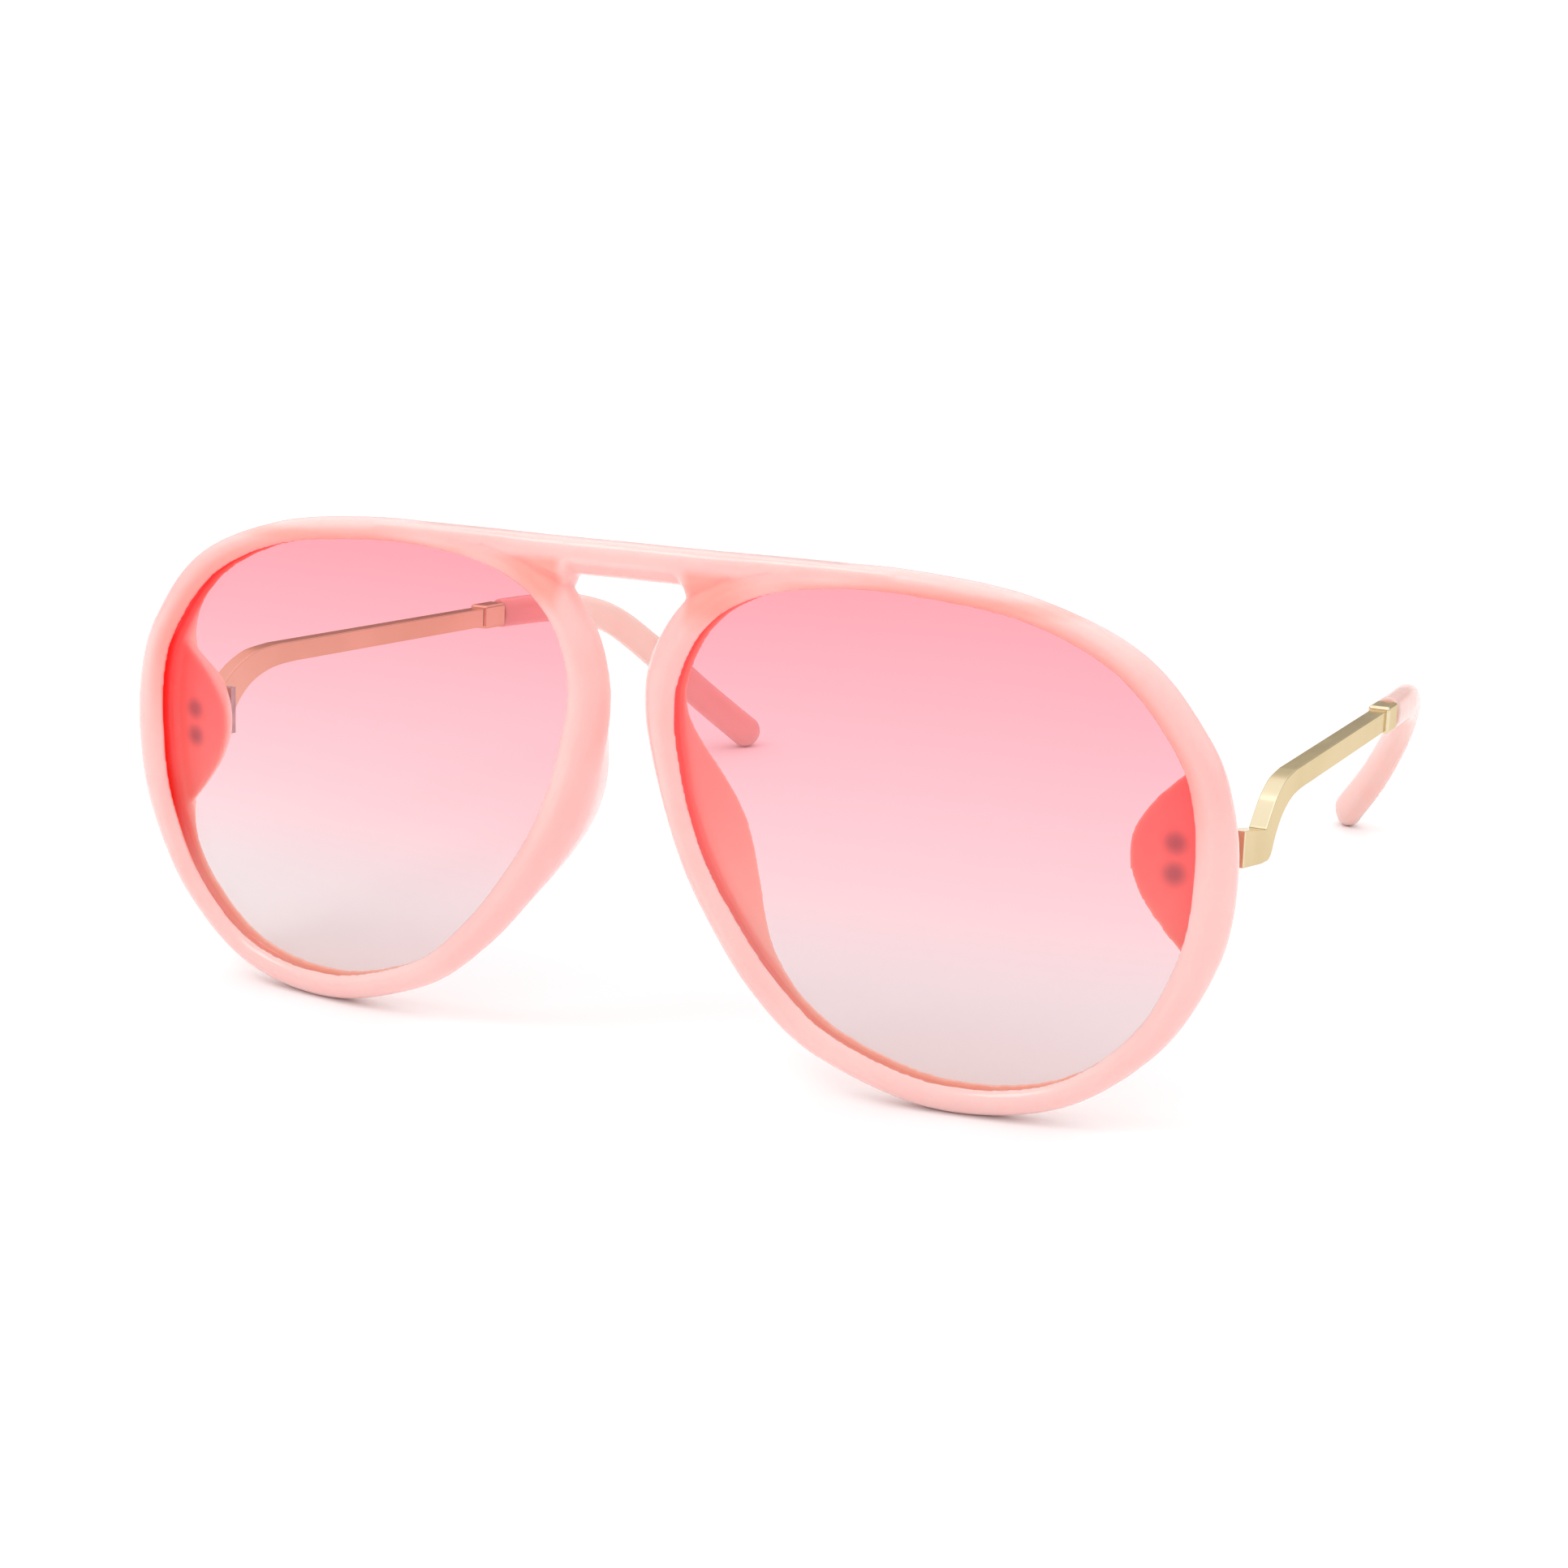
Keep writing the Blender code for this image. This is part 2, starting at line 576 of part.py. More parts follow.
def main():
    for obj in list(bpy.data.objects):
        bpy.data.objects.remove(obj, do_unlink=True)
    parts = bpy.data.collections.new(NAME)
    tools = bpy.data.collections.new("cutters")
    bpy.context.scene.collection.children.link(parts)
    bpy.context.scene.collection.children.link(tools)

    pink = principled("moulded_pink", (0.93, 0.55, 0.48), 0.12, transmission=0.15)
    tint = principled("rose_lens", (0.95, 0.42, 0.50), 0.03, transmission=0.9, alpha=0.5)
    gold = principled("pale_gold", (0.79, 0.66, 0.42), 0.14, metallic=1.0)
    steel = principled("hinge_steel", (0.60, 0.58, 0.57), 0.25, metallic=1.0)
    clear_pink = principled("tip_pink", (0.92, 0.60, 0.53), 0.15, transmission=0.3)

    front = build_front(parts, tools, pink)
    fixed = [build_lens(parts, tint), build_front_leaf(parts, tools, steel), build_screw(parts, tools, steel)]
    fixed += build_rivets(parts, tools, steel)
    moving = [build_temple_leaf(parts, tools, steel), build_bar(parts, gold),
              build_collar(parts, tools, gold), build_core(parts, steel), build_tip(parts, tools, clear_pink)]

    stance = empty("stance", parts, location=(0, SET_BACK * MM, GROUND_LIFT * MM))
    stance.rotation_euler = (-math.radians(LEAN_DEG), 0, 0)
    bridge = Vector((0, 0, 0))
    hang(front, stance, bridge, bridge)
    twins = {obj: mirrored(obj, parts) for obj in fixed + moving}
    for side, sign in (("left", 1), ("right", -1)):
        pivot = Vector((sign * HINGE_X, HINGE_Y, HINGE_Z)) * MM
        axis = empty(f"hinge_axis_{side}", parts, stance, pivot)
        for obj in fixed:
            piece = obj if sign > 0 else twins[obj]
            corners = [Vector(c) for c in piece.bound_box]
            hang(piece, stance, bridge, (corners[0] + corners[6]) / 2)
        for obj in moving:
            hang(obj if sign > 0 else twins[obj], axis, pivot, pivot)
    for obj in parts.objects:
        if obj.type == "MESH":
            obj.data.shade_smooth()
            obj.data.set_sharp_from_angle(angle=math.radians(38))


main()
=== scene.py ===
"""Looks of the oversized teardrop sunglasses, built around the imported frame.

Pieces are modelled in the glasses' own layout frame, in millimetres: X to the wearer's left, Y backwards
along the temples, Z up, bridge at the origin. STANCE, worked out from the frame's hinge axis, leans and
lifts that layout frame on to the floor, and every piece carries it as its object matrix.
"""

import json
import math

import bmesh
import bpy
from mathutils import Matrix, Vector
from mathutils.kdtree import KDTree


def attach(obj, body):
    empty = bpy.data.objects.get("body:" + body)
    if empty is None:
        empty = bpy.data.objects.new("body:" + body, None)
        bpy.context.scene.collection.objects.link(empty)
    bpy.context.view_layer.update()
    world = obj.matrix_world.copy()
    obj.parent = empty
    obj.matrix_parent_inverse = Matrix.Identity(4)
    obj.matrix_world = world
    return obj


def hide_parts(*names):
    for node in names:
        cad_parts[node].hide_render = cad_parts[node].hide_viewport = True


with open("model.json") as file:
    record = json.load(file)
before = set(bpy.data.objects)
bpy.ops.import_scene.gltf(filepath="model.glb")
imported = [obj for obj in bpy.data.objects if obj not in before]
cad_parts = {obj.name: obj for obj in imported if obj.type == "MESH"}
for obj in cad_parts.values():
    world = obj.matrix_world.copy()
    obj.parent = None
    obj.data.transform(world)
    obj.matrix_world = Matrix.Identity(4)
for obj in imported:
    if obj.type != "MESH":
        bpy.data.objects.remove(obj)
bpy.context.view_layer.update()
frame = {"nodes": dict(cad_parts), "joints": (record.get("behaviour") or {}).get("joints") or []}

MM = 0.001
SIDES = (("left", 1), ("right", -1))

# ---- dimensions, the same as the CAD's -----------------------------------------------------------

# Front surface: face-form curve, a slight twist towards the temples, and its reference column
WRAP = 0.0009
TWIST = 0.00108
LENS_CENTRE_X = 26.5
RIM_CENTRE_X = LENS_CENTRE_X + 8.0      # the rim's angles are measured about this column
NASAL_TO_X = LENS_CENTRE_X + 4.0        # the nasal half of a rim ends here

# Rims
APERTURE = (                 # visible lens opening of the wearer's left eye, x and z
    (69.5, 0.0), (69.2, 7.8), (67.0, 14.3), (60.2, 22.3), (49.7, 27.1), (36.7, 28.8), (26.5, 28.7),
    (17.0, 26.8), (10.5, 22.4), (7.3, 14.6), (8.5, 5.2), (11.4, -2.8), (15.6, -9.7), (20.9, -16.2),
    (28.7, -22.5), (41.7, -26.3), (54.6, -24.5), (63.5, -17.6), (68.2, -8.2),
)
RIM_WIDTHS = (               # angle in degrees, rim width
    (0, 4.5), (30, 3.7), (60, 2.8), (90, 2.8), (110, 2.9), (130, 4.2), (150, 4.9), (180, 4.2),
    (225, 3.9), (270, 3.2), (315, 3.1),
)
RIM_BACK = 3.3               # depth of the rim's back edge behind the lip
LIP_TO_CROWN = 0.9           # how far the rounded crown stands ahead of the lip
GROOVE = (0.5, 2.6, 1.0)     # groove front edge, back edge and depth

# Nose flares and hinge lugs, both grown out of the rims
CHEEK_Z = 4.0                # the nasal side of each rim turns back behind a crease
CHEEK_HALF = 30.0
FLARE_DEPTH = 8.0
FLARE_Z = -1.6
FLARE_HALF = 17.5
SWELL_RISE = 6.85            # the wall beside each lug deepens at this rate, up to SWELL_LIMIT
SWELL_LIMIT = 3.2
SWELL_Z = 2.8
SWELL_HALF = 17.5
LUG_ROOT = (                 # outline where the lug grows from the rim, x and z
    (71.2, 10.5), (69.0, 14.4), (67.4, 12.2), (64.0, 8.8), (61.7, 5.2), (61.3, 1.6), (62.6, -2.2),
    (65.2, -5.8), (68.0, -9.0), (69.4, -11.4), (71.2, -7.5),
)
LUG_FACE = (                 # outline of its flat back, where the hinge is riveted
    (71.2, 9.5), (70.0, 10.6), (67.9, 9.8), (65.4, 8.0), (64.2, 5.4), (64.0, 1.6), (64.8, -1.0),
    (66.4, -3.4), (68.4, -5.2), (70.0, -6.6), (71.2, -6.0),
)
LUG_FRONT = 3.2              # how far behind the lip the root begins
LUG_BACK = 11.0
WALL_REACH = 1.6             # a wall inside the opening lies within this of the lip's outline
WALL_START = 0.15            # and begins this far behind the lip
WALL_BLEND = 0.4

# Brow bar: x, bottom and top at each station from the middle out
BAR_STATIONS = (
    (0.0, 27.2, 31.55), (3.0, 27.2, 31.55), (7.1, 27.2, 31.55), (7.6, 26.8, 31.55), (7.8, 25.4, 31.55),
    (8.8, 25.2, 31.55), (11.0, 26.0, 31.55), (14.0, 27.6, 31.6), (19.0, 29.3, 31.65), (27.0, 30.0, 31.65),
    (34.0, 30.1, 31.6),
)

# Lenses: depths of their faces behind the lip, and how far their edge goes into the groove
LENS_FRONT = 0.8
LENS_BACK = 2.3
LENS_IN_GROOVE = 0.65
LENS_EDGE_ROUND = 0.2        # the lens edge is rounded over this much

# Hinges
HINGE = Vector((69.6, 12.8, 3.4))
RIVET_X = 66.4
RIVET_SPACING = 3.5

# Temples: flat metal bar with a step, collar and moulded tip
TEMPLE_X0 = 74.2             # where the outer face would cross the bridge plane
TEMPLE_SLOPE = 0.0600        # the temples close in towards their tips
BAR_T = 2.1
BUTT_Y = 8.85
BAR_END_Y = 76.6
BAR_Z = (6.58, 9.31)
PLATE_TOP = ((BUTT_Y, 6.0), (18.0, 4.5))
RISER_TOP = ((18.0, 4.5), (19.6, 5.8), (21.4, 7.1), (23.4, 8.1), (25.9, 8.9), (30.1, BAR_Z[1]))
RISER_BOTTOM = (
    (33.6, BAR_Z[0]), (29.9, 6.35), (27.0, 5.7), (24.5, 4.6), (22.4, 2.9), (20.9, 1.1), (19.6, 0.6),
)
PLATE_BOTTOM = ((17.0, 0.75), (BUTT_Y, 1.8))
COLLAR_Y = (76.9, 81.9)
COLLAR_SIZE = (2.9, 3.5)
COLLAR_Z = 8.0
TIP_PATH = (
    (68.2, 82.3, 8.0), (67.7, 88.0, 7.9), (66.9, 94.5, 7.7), (65.6, 101.5, 6.8), (63.6, 109.0, 4.2),
    (60.2, 116.6, -1.6), (55.3, 124.0, -9.0), (49.35, 131.25, -16.45),
)
TIP_SECTION = (3.3, 4.3)
TIP_END_SECTION = (3.6, 5.0)
TIP_SQUARENESS = 0.85        # 1 would give an ellipse, less gives flatter sides
SEATING = 0.26               # closes most of the CAD's working gap on either side of the collar

# ---- fineness and edges of the visible meshes ----------------------------------------------------
RIM_STATIONS = 420
VOXEL = 0.30
SMOOTHING = (0.5, 6)         # factor and passes that round off the one-piece front
BAR_STEPS = 136
LUG_STEPS = 16
LENS_RINGS = 22
LENS_STATIONS = 190
TIP_SIDES = 40
TIP_STEPS = 60
TIP_END_STEPS = 14
TIP_FRONT_EDGE = (0.0, 0.12, 0.35, 0.7)     # stations that ease the tip's front edge
TIP_SWEEP_FROM = 1.2         # beyond that edge the stations are even, up to the round end
TIP_FRONT_EASE = 0.10        # how much smaller the tip's front face is
BAR_EDGE = 0.22
COLLAR_EDGE = 0.45
SMALL_PARTS = (              # CAD part, body that carries it (a side is added to a temple), edge radius
    ("hinge_front_leaf", "front", 0.12), ("hinge_screw", "front", 0.08),
    ("hinge_rivet_lower", "front", 0.15), ("hinge_rivet_upper", "front", 0.15),
    ("hinge_temple_leaf", "temple", 0.12), ("tip_core", "temple", 0.12),
)

# ---- colours, as sRGB bytes ----------------------------------------------------------------------
PINK = ((247, 199, 195), (246, 192, 188))   # two shades, mottled together; TIP_PINK, GOLD and STEEL too
WEB_SHADE_PINK = (245, 160, 147)          # painted shade in the fold where the bar meets the rims beside the opening under it
UNDER_BAR_SHADE_PINK = (250, 165, 152)    # painted shade along the lower edge of the bar, which faces down
INNER_BAND_SHADE_PINK = (249, 154, 142)   # painted shade along the thin inner edge of the rims, towards the top
WALL_NEAR_LIP = ((255, 188, 174), (255, 68, 44))    # nasal and temporal walls inside the openings
WALL_FAR_BACK = ((255, 200, 184), (255, 232, 214))
RIVET_SHADE = (150, 105, 125)
TIP_PINK = ((250, 208, 200), (249, 199, 190))
GOLD = ((228, 213, 181), (218, 202, 167))
GOLD_AT_EDGE = (231, 219, 197)
STEEL = ((206, 202, 199), (176, 171, 169))
LENS_LEVELS = (                     # height on the lens, colour seen through it; the grey in the lowest levels is a painted reflection
    (-27, (227, 214, 212)), (-20, (228, 218, 220)), (-12, (228, 211, 214)), (-2, (246, 194, 201)),
    (10, (250, 180, 190)), (22, (250, 163, 174)), (30, (248, 155, 166)),
)
LENS_EDGE_DEEPER = 1.4              # how much deeper the tint is at the lens edge
LENS_GLOSS = 0.035
TINT_WAVE = 1.4                     # how far the tint's levels wander up and down, in mm
RED_PASSES = (1.0, 0.42, 0.36)      # share of each colour that the pink plastic lets through
TIP_PASSES = (1.0, 0.5, 0.45)

# ---- where the pink changes and where light and shade are painted on it, in mm, and how strongly ---
WEB_SHADE_X = (7.6, 9.2, 12.0, 21.0)      # the painted shade fades in over the first two places and out over the last two
WEB_SHADE_Z = (21.5, 25.5, 28.5, 29.8)
WEB_SHADE_STRENGTH = 0.9
UNDER_BAR_SHADE_X = (16.0, 24.0)
UNDER_BAR_SHADE_Z = (27.5, 28.5, 29.0, 30.0)
UNDER_BAR_SHADE_STRENGTH = 0.55
INNER_BAND_SHADE_X = (24.0, 36.0)
INNER_BAND_SHADE_Z = (-4.0, 16.0)
INNER_BAND_SHADE_WIDTH = (0.5, 2.3)       # the painted shade is full inside the first distance from the lip, gone at the second
INNER_BAND_SHADE_STRENGTH = 0.72
TEMPORAL_X = (40.0, 58.0)
TEMPORAL_Z = (-18.0, -7.0)
WALL_DEPTHS = (1.2, 5.0)            # the walls change colour between these depths behind the lip
WALL_GLOW = 0.22             # painted glow on the walls inside the openings, standing in for daylight that comes through the plastic
SHADOW_DROP = 1.1            # how far light from above throws the rivets' shadows down the lug
SHADOW_REACH = (0.2, 2.2)    # a rivet's shadow is full inside the first radius and gone at the second
SHADOW_Y = (4.4, 6.2)        # it fades in over this stretch of the lug
SHADOW_STRENGTH = 0.68

# ---- camera and lights ---------------------------------------------------------------------------
CAMERA_AZIMUTH = 27.256
CAMERA_ELEVATION = 16.166
CAMERA_ROLL = -0.40
CAMERA_AIM = Vector((0.01017, -0.04028, 0.02841))
CAMERA_DISTANCE = 0.36714
CAMERA_LENS = 69.01
SENSOR_WIDTH = 36
SOFTBOX_AIM = Vector((0.0, 0.0, 0.03))
SOFTBOXES = (                # name, place, size, power
    ("key", (-0.35, -0.35, 0.75), (0.3, 0.3), 0.9), ("top", (0.15, 0.15, 0.9), (0.9, 0.3), 0.6),
)
BEHIND_WHITE = (1.1, 1.1, 1.1)      # the surround as the camera sees it
FLOOR_SIZE = 60.0
FLOOR_WHITE = ((0.95, 0.95, 0.95), (0.93, 0.93, 0.93))


def stance():
    """The matrix that puts the layout frame on the floor, from the left hinge's place and axis."""
    joint = next(j for j in frame["joints"] if j["name"] == "fold_left")
    axis = Vector(joint["axis"])
    lean = Matrix.Rotation(-math.atan2(axis.y, axis.z), 4, "X")
    return Matrix.Translation(Vector(joint["pos_m"]) - lean @ (HINGE * MM)) @ lean


STANCE = stance()


# ---- shape helpers -------------------------------------------------------------------------------

def front_surface(x, z):
    """Y of the lens opening's lip at a place on the front."""
    return WRAP * x * x - TWIST * (abs(x) - LENS_CENTRE_X) * z


def catmull(p0, p1, p2, p3, t):
    return 0.5 * (2 * p1 + (p2 - p0) * t + (2 * p0 - 5 * p1 + 4 * p2 - p3) * t * t
                  + (3 * p1 - p0 - 3 * p2 + p3) * t ** 3)


def smooth_path(points, steps, closed=False):
    """Points along a smooth curve through the given ones."""
    pts = [Vector(p) for p in points]
    count = len(pts)
    path = []
    for i in range(count if closed else count - 1):
        if closed:
            quad = [pts[(i + k) % count] for k in (-1, 0, 1, 2)]
        else:
            quad = [pts[max(i - 1, 0)], pts[i], pts[i + 1], pts[min(i + 2, count - 1)]]
        path.extend(catmull(*quad, s / steps) for s in range(steps))
    if not closed:
        path.append(pts[-1])
    return path


def even_loop(points, count):
    """A closed path resampled to evenly spaced points."""
    lengths = [0.0]
    for i, p in enumerate(points):
        lengths.append(lengths[-1] + (points[(i + 1) % len(points)] - p).length)
    loop, k = [], 0
    for s in range(count):
        target = lengths[-1] * s / count
        while lengths[k + 1] < target:
            k += 1
        t = (target - lengths[k]) / (lengths[k + 1] - lengths[k])
        loop.append(points[k].lerp(points[(k + 1) % len(points)], t))
    return loop


def bump(value, centre, half):
    """Smooth bell that is 1 at the centre and 0 beyond the half width."""
    t = min(abs(value - centre) / half, 1.0)
    return math.cos(t * math.pi / 2) ** 2


def clamp(value):
    return min(max(value, 0.0), 1.0)


def between(keys, value):
    """Eased value between (place, value, ...) rows in rising order of place."""
    for a, b in zip(keys, keys[1:]):
        if value <= b[0]:
            t = max(0.0, (value - a[0]) / (b[0] - a[0]))
            t = t * t * (3 - 2 * t)
            return [p + (q - p) * t for p, q in zip(a[1:], b[1:])]
    return list(keys[-1][1:])


def rim_width(angle):
    return between([*RIM_WIDTHS, (RIM_WIDTHS[0][0] + 360, RIM_WIDTHS[0][1])], angle)[0]


def aperture_loop(count):
    """Evenly spaced places round the lens opening, each with its outward normal."""
    loop = even_loop(smooth_path(APERTURE, 24, closed=True), count)
    stations = []
    for i, p in enumerate(loop):
        tangent = loop[(i + 2) % count] - loop[i - 2]
        stations.append((p, Vector((tangent.y, -tangent.x)).normalized()))
    return stations


def loft(bm, rings, closed):
    """Skin rings of equal length, in mm; an open loft gets flat end caps."""
    rows = [[bm.verts.new(Vector(p) * MM) for p in ring] for ring in rings]
    sides = len(rows[0])
    for i in range(len(rows) if closed else len(rows) - 1):
        a, b = rows[i], rows[(i + 1) % len(rows)]
        for j in range(sides):
            k = (j + 1) % sides
            bm.faces.new((a[j], a[k], b[k], b[j]))
    if not closed:
        bm.faces.new(rows[0])
        bm.faces.new(rows[-1][::-1])


def piece(name, bm, material, body, replaced, sharp=35):
    """Turn a bmesh in layout metres into a piece that stands for a CAD node and moves with a body."""
    bmesh.ops.recalc_face_normals(bm, faces=bm.faces)
    mesh = bpy.data.meshes.new(name)
    bm.to_mesh(mesh)
    bm.free()
    obj = bpy.data.objects.new(name, mesh)
    bpy.context.scene.collection.objects.link(obj)
    obj.matrix_world = STANCE
    mesh.materials.append(material)
    mesh.shade_smooth()
    mesh.set_sharp_from_angle(angle=math.radians(sharp))
    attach(obj, body)
    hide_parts(replaced)
    return obj


def apply_modifiers(obj):
    """Make the evaluated mesh the object's own."""
    bpy.context.view_layer.update()
    evaluated = obj.evaluated_get(bpy.context.evaluated_depsgraph_get())
    mesh = bpy.data.meshes.new_from_object(evaluated)
    obj.modifiers.clear()
    obj.data = mesh


def mirror_copy(bm):
    """Add the same geometry on the other side of the middle plane."""
    made = bmesh.ops.duplicate(bm, geom=bm.verts[:] + bm.edges[:] + bm.faces[:])["geom"]
    verts = [g for g in made if isinstance(g, bmesh.types.BMVert)]
    faces = [g for g in made if isinstance(g, bmesh.types.BMFace)]
    for v in verts:
        v.co.x = -v.co.x
    bmesh.ops.reverse_faces(bm, faces=faces)


# ---- front ---------------------------------------------------------------------------------------

def rim_section(place, normal):
    """One fine ring of the rim, from the lip round the crown to the groove."""
    angle = math.degrees(math.atan2(place.y, place.x - RIM_CENTRE_X)) % 360
    width = rim_width(angle)
    nasal = place.x < NASAL_TO_X
    cheek = bump(place.y, CHEEK_Z, CHEEK_HALF) if nasal else 0.0
    flared = bump(place.y, FLARE_Z, FLARE_HALF) if nasal else 0.0
    turn = math.sqrt(flared)
    flare = FLARE_DEPTH * flared
    swell = 0.0 if nasal else min(SWELL_LIMIT, SWELL_RISE * bump(place.y, SWELL_Z, SWELL_HALF))
    back = RIM_BACK + flare
    lean = 0.14 * flare
    pad = 0.105 * flared
    groove_front, groove_back, groove_depth = GROOVE
    skin = smooth_path((
        (0.0, 0.1), (0.18 * width, -0.55), ((0.42 - 0.06 * cheek) * width, -LIP_TO_CROWN),
        ((0.68 - 0.12 * cheek) * width, -0.7 + 0.1 * cheek),
        ((0.9 - 0.1 * cheek) * width, -0.1 + 0.5 * cheek + 0.4 * turn),
        ((1.0 - 0.05 * cheek) * width, 0.9 + 0.5 * cheek + turn),
        ((0.97 + 0.03 * cheek) * width, 1.9 + 0.2 * cheek + 1.6 * turn),
        ((0.86 + pad) * width, 2.5 + 0.3 * flare + turn), ((0.8 + pad) * width - lean, back - 0.8),
        (0.48 * width - lean, back - 0.1), (0.22 * width - lean, back + swell), (-lean, back + swell - 0.3),
    ), 3)
    groove = [
        Vector((0.0, groove_back)), Vector((groove_depth, groove_back - 0.1)),
        Vector((groove_depth, groove_front + 0.1)), Vector((0.0, groove_front)),
    ]
    ring = []
    for out, depth in skin + groove:
        x, z = place + normal * out
        ring.append((x, front_surface(x, z) + depth, z))
    return ring


def add_brow_bar(bm):
    """Straight bar over both rims: rounded on top, with a soft edge along it and a scooped lower face."""
    crown, back = -LIP_TO_CROWN + 0.05, RIM_BACK - 0.1
    rings = []
    reach = BAR_STATIONS[-1][0]
    for i in range(BAR_STEPS + 1):
        x = reach * (2 * i / BAR_STEPS - 1)
        low, high = between(BAR_STATIONS, abs(x))
        tall = high - low
        section = smooth_path((
            (low + 0.05 * tall, 0.9), (low + 0.22 * tall, 0.1), (low + 0.40 * tall, crown + 0.1),
            (low + 0.50 * tall, crown), (high - 0.27 * tall, crown + 0.05), (high - 0.07 * tall, -0.4),
            (high, 0.5), (high, back - 0.9), (high - 0.15 * tall, back), (low + 0.15 * tall, back),
            (low, back - 0.7),
        ), 3, closed=True)
        rings.append([(x, front_surface(x, z) + depth, z) for z, depth in section])
    loft(bm, rings, closed=False)


def add_lug(bm):
    """End piece behind the rim that carries the hinge, with rounded sloping sides."""
    rings = []
    root, face = smooth_path(LUG_ROOT, 4), smooth_path(LUG_FACE, 4)
    for i in range(LUG_STEPS + 1):
        t = i / LUG_STEPS
        ring = []
        for a, b in zip(root, face):
            x, z = a.lerp(b, t ** 2)
            ring.append((x, (front_surface(x, z) + LUG_FRONT) * (1 - t) + LUG_BACK * t, z))
        rings.append(ring)
    loft(bm, rings, closed=False)


def mark_inner_walls(obj):
    """Store on each vertex how far out from the lip and behind it it lies, and whether on an inner wall."""
    loop = aperture_loop(RIM_STATIONS)
    tree = KDTree(len(loop))
    for i, (place, _) in enumerate(loop):
        tree.insert((place.x, place.y, 0), i)
    tree.balance()
    inner, across, depth = (obj.data.attributes.new(name, "FLOAT", "POINT")
                            for name in ("inner_wall", "from_lip", "wall_depth"))
    for v in obj.data.vertices:
        x, y, z = v.co / MM
        _, i, _ = tree.find((abs(x), z, 0))
        place, normal = loop[i]
        out = (Vector((abs(x), z)) - place).dot(normal)
        behind = y - front_surface(x, z)
        inside = clamp((WALL_REACH - out) / WALL_BLEND)
        inner.data[v.index].value = inside * clamp((behind - WALL_START) / WALL_BLEND)
        depth.data[v.index].value = behind
        across.data[v.index].value = out


def build_front(material):
    bm = bmesh.new()
    loft(bm, [rim_section(p, n) for p, n in aperture_loop(RIM_STATIONS)], closed=True)
    add_lug(bm)
    mirror_copy(bm)
    add_brow_bar(bm)
    front = piece("front_moulding", bm, material, "front", "front_frame")
    remesh = front.modifiers.new("one_skin", "REMESH")
    remesh.mode = "VOXEL"
    remesh.voxel_size = VOXEL * MM
    smooth = front.modifiers.new("moulded_edges", "SMOOTH")
    smooth.factor, smooth.iterations = SMOOTHING
    apply_modifiers(front)
    front.data.materials.clear()
    front.data.materials.append(material)
    front.data.shade_smooth()
    mark_inner_walls(front)


# ---- lenses --------------------------------------------------------------------------------------

def build_lens(side, sign, material, edge_material):
    """Curved sheet with a rounded, slightly darker edge, seated in the rim's groove."""
    stations = aperture_loop(LENS_STATIONS)
    edge = [p + n * LENS_IN_GROOVE for p, n in stations]
    centre = sum(edge, Vector((0, 0))) / len(edge)
    bm = bmesh.new()
    count = len(edge)

    def row(scale, depth, inset=0.0):
        ring = []
        for p, (_, n) in zip(edge, stations):
            x, z = centre + (p - n * inset - centre) * scale
            ring.append(bm.verts.new(Vector((sign * x, front_surface(x, z) + depth, z)) * MM))
        return ring

    def band(a, b, index):
        for j in range(count):
            k = (j + 1) % count
            bm.faces.new((a[j], a[k], b[k], b[j])).material_index = index

    def sheet(depth):
        turns = [(LENS_RINGS - i) / LENS_RINGS * math.pi / 2 for i in range(LENS_RINGS)]
        rows = [row(math.sin(turn), depth, LENS_EDGE_ROUND) for turn in turns]
        for a, b in zip(rows, rows[1:]):
            band(a, b, 0)
        middle = bm.verts.new(Vector((sign * centre.x, front_surface(*centre) + depth, centre.y)) * MM)
        for j in range(count):
            bm.faces.new((rows[-1][j], rows[-1][(j + 1) % count], middle)).material_index = 0
        return rows[0]

    front_edge, back_edge = sheet(LENS_FRONT), sheet(LENS_BACK)
    outer_front = row(1.0, LENS_FRONT + LENS_EDGE_ROUND)
    outer_back = row(1.0, LENS_BACK - LENS_EDGE_ROUND)
    band(front_edge, outer_front, 1)
    band(outer_front, outer_back, 1)
    band(outer_back, back_edge, 1)
    lens = piece(f"lens_{side}_curved", bm, material, "front", f"lens_{side}", sharp=60)
    lens.data.materials.append(edge_material)


# ---- temples -------------------------------------------------------------------------------------

def on_temple(y, z, inward, sign):
    """A place so far inside a temple's outer face, in layout metres."""
    return Vector((sign * (TEMPLE_X0 - TEMPLE_SLOPE * y - inward), y, z)) * MM


def plate(outline, depths, sign):
    """An outline on the temple's face given thickness between two depths, in layout metres."""
    bm = bmesh.new()
    low = [bm.verts.new(on_temple(y, z, depths[0], sign)) for y, z in outline]
    made = bmesh.ops.extrude_face_region(bm, geom=[bm.faces.new(low)])
    top = [g for g in made["geom"] if isinstance(g, bmesh.types.BMVert)]
    across = on_temple(0, 0, depths[1], sign) - on_temple(0, 0, depths[0], sign)
    bmesh.ops.translate(bm, verts=top, vec=across)
    return bm


def soften(obj, width, segments=3, angle=30):
    """Small rounded edges, as polished or tumbled metal has."""
    bevel = obj.modifiers.new("edges", "BEVEL")
    bevel.width = width * MM
    bevel.segments = segments
    bevel.limit_method = "ANGLE"
    bevel.angle_limit = math.radians(angle)
    bevel.harden_normals = True


